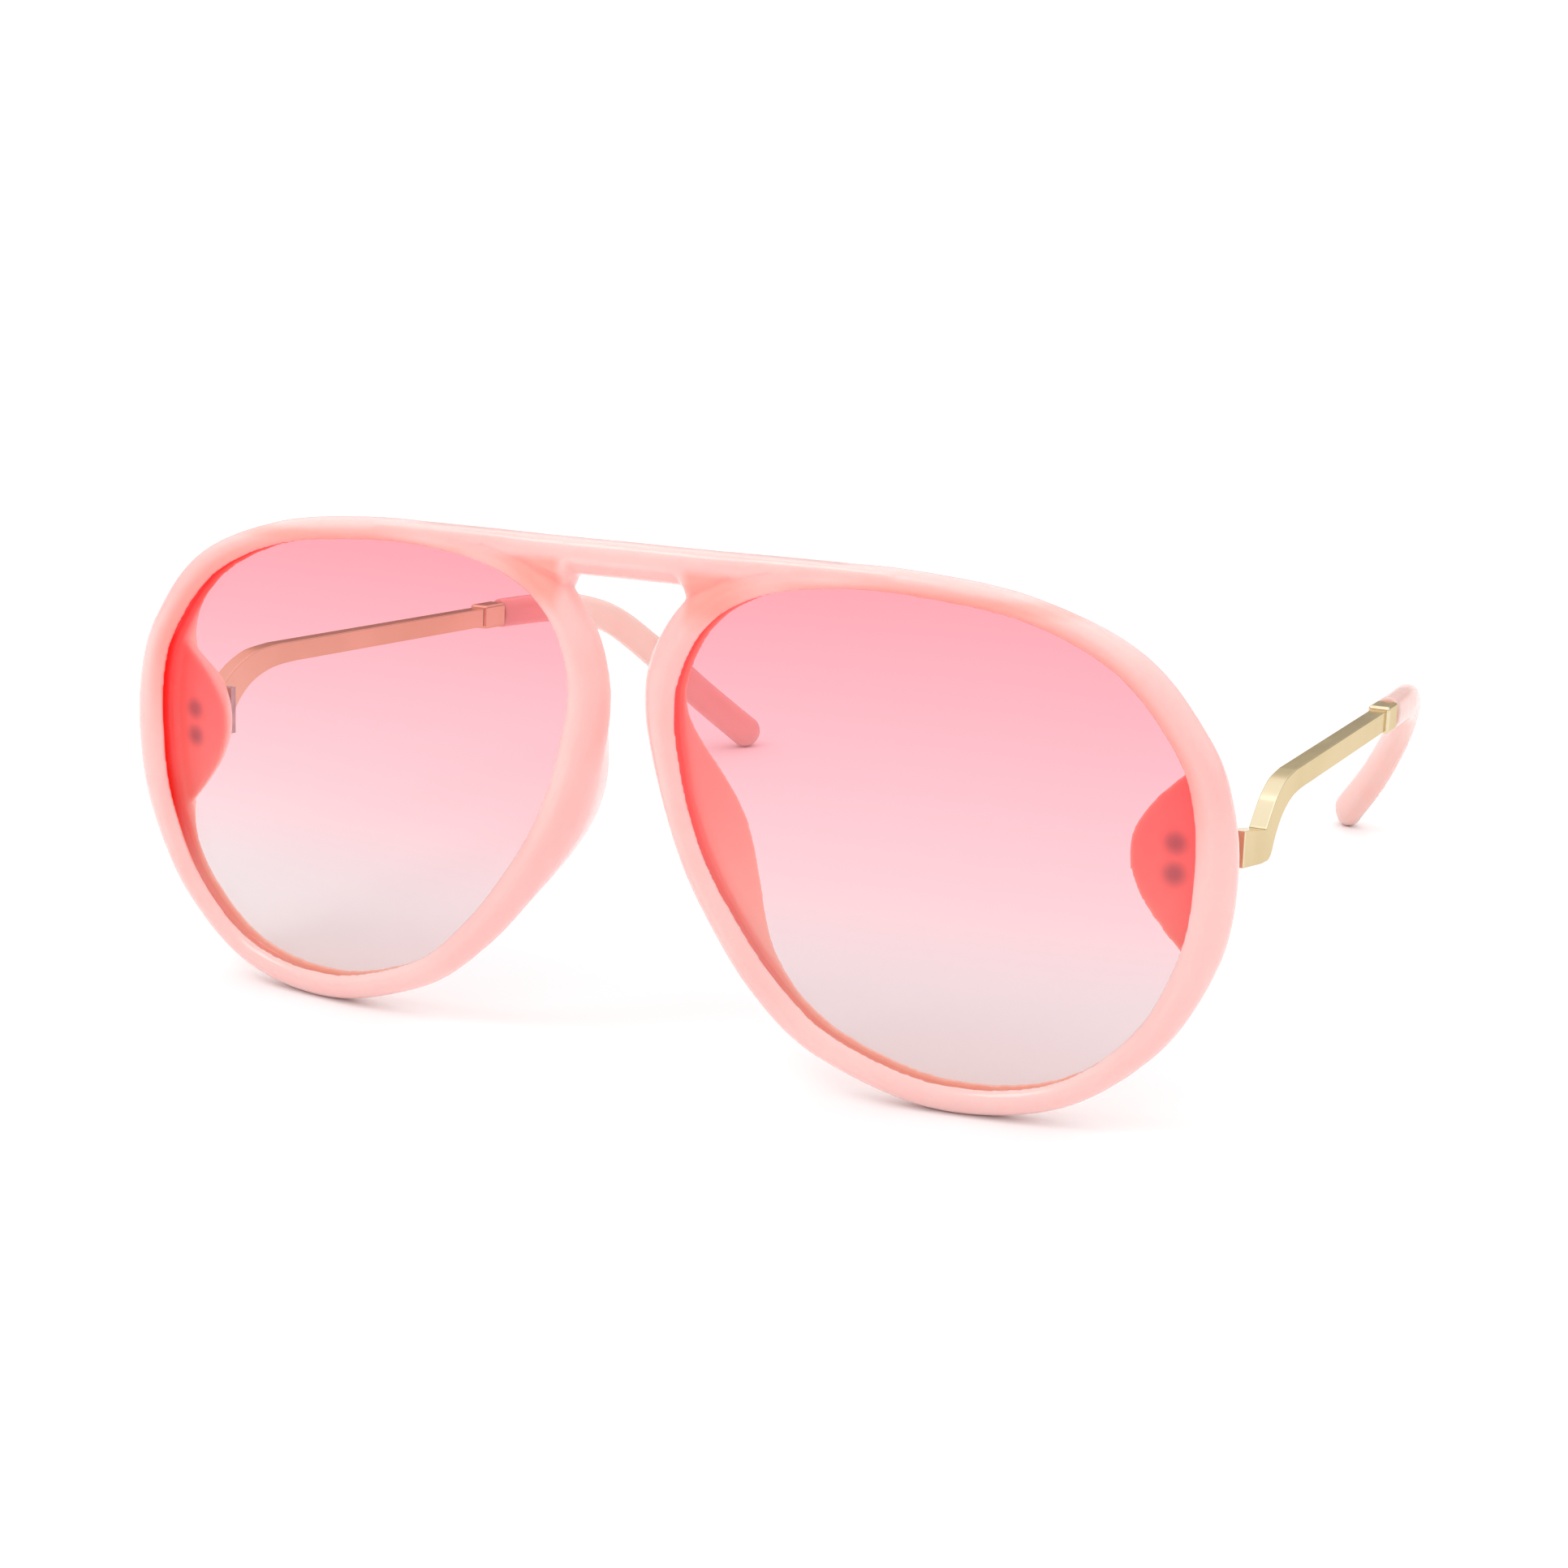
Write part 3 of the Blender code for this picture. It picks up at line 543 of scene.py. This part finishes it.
def build_bar(side, sign, material):
    end = BAR_END_Y + SEATING
    top = [Vector(PLATE_TOP[0]), *smooth_path(RISER_TOP, 8), Vector((end, BAR_Z[1]))]
    bottom = [Vector((end, BAR_Z[0])), *smooth_path(RISER_BOTTOM, 8), *map(Vector, PLATE_BOTTOM)]
    bm = plate(top + bottom, (0.0, BAR_T), sign)
    bar = piece(f"temple_bar_{side}_polished", bm, material, f"temple_{side}",
                f"temple_bar_{side}")
    soften(bar, BAR_EDGE)


def build_collar(side, sign, material):
    width, height = COLLAR_SIZE
    low, high = COLLAR_Z - height / 2, COLLAR_Z + height / 2
    mid = BAR_T / 2
    outline = [(COLLAR_Y[0], low), (COLLAR_Y[1], low), (COLLAR_Y[1], high), (COLLAR_Y[0], high)]
    bm = plate(outline, (mid - width / 2, mid + width / 2), sign)
    collar = piece(f"temple_collar_{side}_polished", bm, material, f"temple_{side}",
                   f"temple_collar_{side}")
    soften(collar, COLLAR_EDGE, segments=5)


def build_tip(side, sign, material):
    """Moulded tip: a rounded section swept along its bend, with an eased front edge and a round end."""
    path = smooth_path(TIP_PATH, 10)
    path[0] += (path[0] - path[1]).normalized() * SEATING
    lengths = [0.0]
    for a, b in zip(path, path[1:]):
        lengths.append(lengths[-1] + (b - a).length)
    start, end = Vector(TIP_SECTION) / 2, Vector(TIP_END_SECTION) / 2
    whole, ease_end = lengths[-1], TIP_FRONT_EDGE[-1]
    sweep = whole - end.y - TIP_SWEEP_FROM
    stops = list(TIP_FRONT_EDGE)
    stops += [TIP_SWEEP_FROM + sweep * i / TIP_STEPS for i in range(TIP_STEPS + 1)]
    turns = [i / TIP_END_STEPS * math.pi / 2 for i in range(1, TIP_END_STEPS)]
    stops += [whole - end.y * (1 - math.sin(turn)) for turn in turns]
    rings = []
    for run in stops:
        k = max(i for i in range(len(lengths) - 1) if lengths[i] <= run)
        t = (run - lengths[k]) / (lengths[k + 1] - lengths[k])
        centre = path[k].lerp(path[k + 1], t)
        ahead, behind = path[min(k + 2, len(path) - 1)], path[max(k - 1, 0)]
        tangent = (ahead - behind).normalized()
        side_way = tangent.cross(Vector((0, 0, 1))).normalized()
        up = side_way.cross(tangent)
        half_w, half_h = start.lerp(end, run / whole)
        left = (whole - run) / half_h
        shrink = math.sqrt(max(1 - (1 - min(left, 1.0)) ** 2, 0.0004))
        shrink *= 1 - TIP_FRONT_EASE * max(0.0, 1 - run / ease_end) ** 2
        ring = []
        for j in range(TIP_SIDES):
            a = 2 * math.pi * j / TIP_SIDES
            c, s = math.cos(a), math.sin(a)
            w = math.copysign(abs(c) ** TIP_SQUARENESS, c) * half_w * shrink
            h = math.copysign(abs(s) ** TIP_SQUARENESS, s) * half_h * shrink
            p = centre + side_way * w + up * h
            ring.append((sign * p.x, p.y, p.z))
        rings.append(ring)
    bm = bmesh.new()
    loft(bm, rings, closed=False)
    piece(f"temple_tip_{side}_moulded", bm, material, f"temple_{side}", f"temple_tip_{side}",
          sharp=50)


# ---- small metal parts ---------------------------------------------------------------------------

def finish_small_part(node, body, material, edge):
    """A copy of a small CAD part with its edges rounded."""
    source = frame["nodes"][node]
    bm = bmesh.new()
    bm.from_mesh(source.data)
    bmesh.ops.transform(bm, matrix=STANCE.inverted(), verts=bm.verts)
    bmesh.ops.remove_doubles(bm, verts=bm.verts, dist=0.002 * MM)
    bmesh.ops.dissolve_limit(bm, angle_limit=math.radians(1), verts=bm.verts, edges=bm.edges)
    part = piece(f"{node}_finished", bm, material, body, node)
    soften(part, edge, segments=2, angle=35)


# ---- materials -----------------------------------------------------------------------------------

def new_material(name):
    material = bpy.data.materials.new(name)
    material.use_nodes = True
    tree = material.node_tree
    return material, tree, tree.nodes["Principled BSDF"]


def node(tree, kind, **values):
    made = tree.nodes.new(kind)
    for key, value in values.items():
        made.inputs[key].default_value = value
    return made


def layout_coordinates(tree):
    return tree.nodes.new("ShaderNodeTexCoord").outputs["Object"]


def axes(tree, vector):
    """The three parts of a vector."""
    split = tree.nodes.new("ShaderNodeSeparateXYZ")
    tree.links.new(vector, split.inputs[0])
    return split.outputs


def noise(tree, coords, scale, detail=3.0, roughness=0.5, stretch=None):
    if stretch:
        mapping = tree.nodes.new("ShaderNodeMapping")
        mapping.inputs["Scale"].default_value = stretch
        tree.links.new(coords, mapping.inputs["Vector"])
        coords = mapping.outputs["Vector"]
    made = node(tree, "ShaderNodeTexNoise", Scale=scale, Detail=detail, Roughness=roughness)
    tree.links.new(coords, made.inputs["Vector"])
    return made.outputs["Fac"]


def ranged(tree, value, low, high, to_low, to_high):
    """Eases from to_low at low to to_high at high, and stays there beyond."""
    made = tree.nodes.new("ShaderNodeMapRange")
    made.interpolation_type = "SMOOTHSTEP"
    for socket, number in zip(("From Min", "From Max", "To Min", "To Max"), (low, high, to_low, to_high)):
        made.inputs[socket].default_value = number
    tree.links.new(value, made.inputs["Value"])
    return made.outputs["Result"]


def maths(tree, operation, a, b=None):
    made = tree.nodes.new("ShaderNodeMath")
    made.operation = operation
    for socket, value in zip(made.inputs, (a, b)):
        if isinstance(value, (int, float)):
            socket.default_value = value
        elif value is not None:
            tree.links.new(value, socket)
    return made.outputs[0]


def product(tree, *factors):
    total = factors[0]
    for factor in factors[1:]:
        total = maths(tree, "MULTIPLY", total, factor)
    return total


def rising(tree, place, start, end, top=1.0):
    """0 up to start, in mm, easing to the top at end."""
    return ranged(tree, place, start * MM, end * MM, 0, top)


def falling(tree, place, start, end):
    """1 up to start, in mm, easing to 0 at end."""
    return ranged(tree, place, start * MM, end * MM, 1, 0)


def patch(tree, place, fades_in, full, still_full, gone):
    """1 along a stretch, in mm, fading at both ends."""
    return product(tree, rising(tree, place, fades_in, full), falling(tree, place, still_full, gone))


def mixed(tree, fac, a, b, blend="MIX"):
    made = tree.nodes.new("ShaderNodeMix")
    made.data_type = "RGBA"
    made.blend_type = blend
    for index, value in ((0, fac), (6, a), (7, b)):
        if isinstance(value, (int, float)):
            made.inputs[index].default_value = value
        elif isinstance(value, tuple):
            made.inputs[index].default_value = (*value, 1.0)
        else:
            tree.links.new(value, made.inputs[index])
    return made.outputs[2]


def surface_relief(tree, shader, height, strength, distance):
    made = node(tree, "ShaderNodeBump", Strength=strength, Distance=distance)
    tree.links.new(height, made.inputs["Height"])
    tree.links.new(made.outputs["Normal"], shader.inputs["Normal"])


def linear(r, g, b):
    """sRGB bytes as linear numbers."""
    return tuple(((c / 255 + 0.055) / 1.055) ** 2.4 if c > 10 else c / 255 / 12.92 for c in (r, g, b))


def mottled(tree, coords, scale, detail, spread, shades):
    """Two shades of one colour in soft patches; spread is where the noise starts and ends the change."""
    patches = ranged(tree, noise(tree, coords, scale, detail), *spread, 0, 1)
    return mixed(tree, patches, linear(*shades[0]), linear(*shades[1]))


def stored(tree, name):
    """A value that mark_inner_walls put on the vertices; distances are in mm."""
    made = tree.nodes.new("ShaderNodeAttribute")
    made.attribute_name = name
    return made.outputs["Fac"]


def skin_colour_and_shade(tree, coords, aside, z):
    """Colour of the front's outer skin, with painted shade beside and under the bar and along the rims' inner
    edges.
    """
    body = mottled(tree, coords, 45, 4, (0.35, 0.65), PINK)
    # painted shade in the fold where the bar meets the rims
    web_shade = product(tree, patch(tree, aside, *WEB_SHADE_X), patch(tree, z, *WEB_SHADE_Z), WEB_SHADE_STRENGTH)
    body = mixed(tree, web_shade, body, linear(*WEB_SHADE_PINK))
    # painted shade along the bar's lower edge, which faces down
    under = product(tree, rising(tree, aside, *UNDER_BAR_SHADE_X, UNDER_BAR_SHADE_STRENGTH), patch(tree, z, *UNDER_BAR_SHADE_Z))
    body = mixed(tree, under, body, linear(*UNDER_BAR_SHADE_PINK))
    # painted shade along the rims' inner edge, towards the top
    near_lip = ranged(tree, stored(tree, "from_lip"), *INNER_BAND_SHADE_WIDTH, INNER_BAND_SHADE_STRENGTH, 0)
    inner_band_shade = product(tree, near_lip, rising(tree, z, *INNER_BAND_SHADE_Z), rising(tree, aside, *INNER_BAND_SHADE_X))
    return mixed(tree, inner_band_shade, body, linear(*INNER_BAND_SHADE_PINK))


def rivet_shadows(tree, aside, y, z):
    """How much of the light inside each lug its two rivets keep out."""
    across = maths(tree, "SUBTRACT", aside, RIVET_X * MM)
    spots = []
    for height in (HINGE.z - RIVET_SPACING / 2, HINGE.z + RIVET_SPACING / 2):
        up = maths(tree, "SUBTRACT", z, (height - SHADOW_DROP) * MM)
        squares = maths(tree, "ADD", product(tree, across, across), product(tree, up, up))
        spots.append(falling(tree, maths(tree, "SQRT", squares), *SHADOW_REACH))
    return product(tree, maths(tree, "MAXIMUM", *spots), rising(tree, y, *SHADOW_Y, SHADOW_STRENGTH))


def wall_colour(tree, aside, z):
    """Colour of the walls inside the lens openings: deep red near the lip on the temporal side."""
    temporal = product(tree, rising(tree, aside, *TEMPORAL_X), rising(tree, z, *TEMPORAL_Z))
    near_lip, far_back = (mixed(tree, temporal, linear(*nasal), linear(*outer))
                          for nasal, outer in (WALL_NEAR_LIP, WALL_FAR_BACK))
    deep = ranged(tree, stored(tree, "wall_depth"), *WALL_DEPTHS, 0, 1)
    return mixed(tree, deep, near_lip, far_back)


def moulded_pink():
    """Glossy, slightly translucent peach-pink plastic, with a painted glow on its inner walls for the light
    that comes through it.
    """
    material, tree, shader = new_material("moulded_pink")
    coords = layout_coordinates(tree)
    x, y, z = axes(tree, coords)
    aside = maths(tree, "ABSOLUTE", x)
    inner_wall, wall = stored(tree, "inner_wall"), wall_colour(tree, aside, z)
    blocked = rivet_shadows(tree, aside, y, z)
    open_colour = mixed(tree, inner_wall, skin_colour_and_shade(tree, coords, aside, z), wall)
    tree.links.new(mixed(tree, blocked, open_colour, linear(*RIVET_SHADE)), shader.inputs["Base Color"])
    # painted light: the inner walls glow in their own colour, less where the rivets' painted shadows lie
    tree.links.new(mixed(tree, 1.0, wall, RED_PASSES, "MULTIPLY"), shader.inputs["Emission Color"])
    glow = product(tree, inner_wall, maths(tree, "SUBTRACT", 1.0, blocked), WALL_GLOW)
    tree.links.new(glow, shader.inputs["Emission Strength"])
    shader.inputs["Subsurface Weight"].default_value = 0.85
    shader.inputs["Subsurface Radius"].default_value = RED_PASSES
    shader.inputs["Subsurface Scale"].default_value = 0.0042
    shader.inputs["IOR"].default_value = 1.49
    shader.inputs["Coat Weight"].default_value = 0.4
    shader.inputs["Coat Roughness"].default_value = 0.06
    scuff = ranged(tree, noise(tree, coords, 420, 5, 0.6), 0.3, 0.7, 0.16, 0.26)
    tree.links.new(scuff, shader.inputs["Roughness"])
    surface_relief(tree, shader, noise(tree, coords, 160, 2), 0.25, 0.06 * MM)
    return material


def lens_tint(name, deepen=1.0):
    """Rose tint that fades downwards, greyer at the bottom as a painted reflection. The sheet has two faces,
    so each carries the root of the tint.
    """
    material, tree, shader = new_material(name)
    tree.nodes.remove(shader)
    coords = layout_coordinates(tree)
    wave = maths(tree, "MULTIPLY", maths(tree, "SUBTRACT", noise(tree, coords, 30, 3), 0.5), TINT_WAVE * MM)
    low, high = LENS_LEVELS[0][0], LENS_LEVELS[-1][0]
    place = tree.nodes.new("ShaderNodeMapRange")
    tree.links.new(maths(tree, "ADD", axes(tree, coords)[2], wave), place.inputs["Value"])
    place.inputs["From Min"].default_value = low * MM
    place.inputs["From Max"].default_value = high * MM
    ramp = tree.nodes.new("ShaderNodeValToRGB")
    ramp.color_ramp.interpolation = "B_SPLINE"
    tree.links.new(place.outputs["Result"], ramp.inputs["Fac"])
    stops = ramp.color_ramp.elements
    while len(stops) < len(LENS_LEVELS):
        stops.new(0.5)
    for stop, (level, rgb) in zip(stops, LENS_LEVELS):
        stop.position = (level - low) / (high - low)
        stop.color = (*(c ** (deepen / 2) for c in linear(*rgb)), 1.0)
    clear = tree.nodes.new("ShaderNodeBsdfTransparent")
    tree.links.new(ramp.outputs["Color"], clear.inputs["Color"])
    mirror = tree.nodes.new("ShaderNodeBsdfGlossy")
    smear = ranged(tree, noise(tree, coords, 90, 5, 0.65), 0.4, 0.7, 0.015, 0.05)
    tree.links.new(smear, mirror.inputs["Roughness"])
    facing = node(tree, "ShaderNodeLayerWeight", Blend=0.5)
    grazing = maths(tree, "MULTIPLY", maths(tree, "POWER", facing.outputs["Facing"], 5.0), 1 - LENS_GLOSS)
    mix = tree.nodes.new("ShaderNodeMixShader")
    tree.links.new(maths(tree, "ADD", grazing, LENS_GLOSS), mix.inputs[0])
    tree.links.new(clear.outputs[0], mix.inputs[1])
    tree.links.new(mirror.outputs[0], mix.inputs[2])
    tree.links.new(mix.outputs[0], tree.nodes["Material Output"].inputs["Surface"])
    return material


def polished_gold():
    """Pale gold plate, polished along the bar, with faint hairlines and a few duller patches."""
    material, tree, shader = new_material("pale_gold")
    coords = layout_coordinates(tree)
    tree.links.new(mottled(tree, coords, 55, 3, (0.35, 0.65), GOLD), shader.inputs["Base Color"])
    shader.inputs["Metallic"].default_value = 1.0
    shader.inputs["Specular Tint"].default_value = (*linear(*GOLD_AT_EDGE), 1.0)
    hairlines = noise(tree, coords, 900, 3, 0.6, stretch=(1.0, 0.03, 1.0))
    dull = ranged(tree, noise(tree, coords, 130, 4), 0.4, 0.7, 0, 0.07)
    rough = maths(tree, "ADD", ranged(tree, hairlines, 0.3, 0.7, 0.08, 0.15), dull)
    tree.links.new(rough, shader.inputs["Roughness"])
    surface_relief(tree, shader, hairlines, 0.12, 0.015 * MM)
    return material


def satin_nickel():
    """Grey hinge metal with turned and brushed marks."""
    material, tree, shader = new_material("hinge_steel")
    coords = layout_coordinates(tree)
    tree.links.new(mottled(tree, coords, 400, 4, (0.3, 0.7), STEEL), shader.inputs["Base Color"])
    shader.inputs["Metallic"].default_value = 1.0
    marks = noise(tree, coords, 2600, 3, 0.6, stretch=(1.0, 1.0, 0.08))
    tree.links.new(ranged(tree, marks, 0.3, 0.7, 0.22, 0.38), shader.inputs["Roughness"])
    surface_relief(tree, shader, marks, 0.2, 0.01 * MM)
    return material


def moulded_tip():
    """Clearer pink plastic than the front, so that the metal core shows as a soft shape inside."""
    material, tree, shader = new_material("tip_pink")
    coords = layout_coordinates(tree)
    tree.links.new(mottled(tree, coords, 60, 3, (0.35, 0.65), TIP_PINK), shader.inputs["Base Color"])
    shader.inputs["Subsurface Weight"].default_value = 0.8
    shader.inputs["Subsurface Radius"].default_value = TIP_PASSES
    shader.inputs["Subsurface Scale"].default_value = 0.003
    shader.inputs["Transmission Weight"].default_value = 0.2
    shader.inputs["IOR"].default_value = 1.47
    scuff = ranged(tree, noise(tree, coords, 500, 4), 0.3, 0.7, 0.14, 0.24)
    tree.links.new(scuff, shader.inputs["Roughness"])
    surface_relief(tree, shader, noise(tree, coords, 170, 2), 0.2, 0.06 * MM)
    return material


# ---- studio --------------------------------------------------------------------------------------

def pale_floor():
    bm = bmesh.new()
    bmesh.ops.create_grid(bm, x_segments=8, y_segments=8, size=FLOOR_SIZE)
    mesh = bpy.data.meshes.new("floor")
    bm.to_mesh(mesh)
    bm.free()
    floor = bpy.data.objects.new("floor", mesh)
    bpy.context.scene.collection.objects.link(floor)
    material, tree, shader = new_material("floor_white")
    coords = layout_coordinates(tree)
    tone = ranged(tree, noise(tree, coords, 3, 2), 0.3, 0.7, 0, 1)
    tree.links.new(mixed(tree, tone, *FLOOR_WHITE), shader.inputs["Base Color"])
    shader.inputs["Roughness"].default_value = 0.9
    shader.inputs["Specular IOR Level"].default_value = 0.1
    mesh.materials.append(material)


def softbox(name, place, size, power):
    """A rectangular area light that looks at the middle of the glasses."""
    light = bpy.data.lights.new(name, "AREA")
    light.shape = "RECTANGLE"
    light.size, light.size_y = size
    light.energy = power
    obj = bpy.data.objects.new(name, light)
    obj.location = place
    obj.rotation_euler = (SOFTBOX_AIM - Vector(place)).to_track_quat("-Z", "Y").to_euler()
    bpy.context.scene.collection.objects.link(obj)


def studio_light():
    """Two softboxes in a bright room, which is greyer low down but plain white to the camera."""
    world = bpy.data.worlds.new("studio")
    world.use_nodes = True
    tree = world.node_tree
    background = tree.nodes["Background"]
    upward = axes(tree, tree.nodes.new("ShaderNodeTexCoord").outputs["Generated"])[2]
    room = ranged(tree, upward, 0.02, 0.55, 0.5, 1.22)
    seen = tree.nodes.new("ShaderNodeLightPath").outputs["Is Camera Ray"]
    tree.links.new(mixed(tree, seen, room, BEHIND_WHITE), background.inputs["Color"])
    bpy.context.scene.world = world
    for box in SOFTBOXES:
        softbox(*box)


def studio_camera():
    data = bpy.data.cameras.new("camera")
    data.lens = CAMERA_LENS
    data.sensor_width = SENSOR_WIDTH
    data.clip_start = 0.01
    azimuth, elevation = math.radians(CAMERA_AZIMUTH), math.radians(CAMERA_ELEVATION)
    sight = Vector((-math.sin(azimuth) * math.cos(elevation), math.cos(azimuth) * math.cos(elevation),
                    -math.sin(elevation)))
    turn = sight.to_track_quat("-Z", "Y").to_matrix().to_4x4()
    camera = bpy.data.objects.new("camera", data)
    camera.matrix_world = (Matrix.Translation(CAMERA_AIM - sight * CAMERA_DISTANCE)
                           @ turn @ Matrix.Rotation(math.radians(CAMERA_ROLL), 4, "Z"))
    bpy.context.scene.collection.objects.link(camera)
    bpy.context.scene.camera = camera


def main():
    pink, gold, steel, tip = moulded_pink(), polished_gold(), satin_nickel(), moulded_tip()
    rose, rose_edge = lens_tint("lens_rose"), lens_tint("lens_rose_edge", LENS_EDGE_DEEPER)
    build_front(pink)
    for side, sign in SIDES:
        build_lens(side, sign, rose, rose_edge)
        build_bar(side, sign, gold)
        build_collar(side, sign, gold)
        build_tip(side, sign, tip)
        for part, body, edge in SMALL_PARTS:
            carrier = f"temple_{side}" if body == "temple" else body
            finish_small_part(f"{part}_{side}", carrier, steel, edge)
    pale_floor()
    studio_light()
    studio_camera()
    bpy.context.scene.view_settings.view_transform = "Standard"


main()
